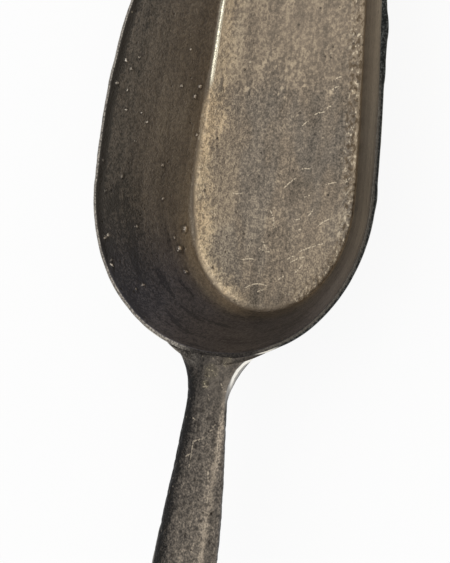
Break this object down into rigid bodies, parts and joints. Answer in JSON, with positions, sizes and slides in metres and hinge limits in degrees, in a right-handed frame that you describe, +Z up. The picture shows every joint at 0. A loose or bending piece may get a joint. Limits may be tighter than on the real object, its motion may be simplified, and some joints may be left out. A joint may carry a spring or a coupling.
{
  "type": "scoop",
  "caption": "Flat-bottomed hand scoop with flared walls, a rounded back, an open sloping mouth and a slim upswept oval handle.",
  "frame": {"origin": "middle of the floor's flat underside, on the surface that the scoop rests on", "axes": "+Y out of the open mouth along the length, +X to the right of someone holding the handle, +Z up"},
  "size_m": [0.09, 0.2518, 0.0452],
  "materials": {
    "aged_aluminium": "old, dull warm grey-brown, scratched and speckled",
    "cast_aluminium": "old casting, pitted, rubbed smooth on the crest",
    "brazing_filler": "dull filler metal, slightly yellow"
  },
  "bodies": {
    "root": {"bowl": "aged_aluminium", "handle": "cast_aluminium", "braze_fillet": "brazing_filler"}
  },
  "joints": []
}
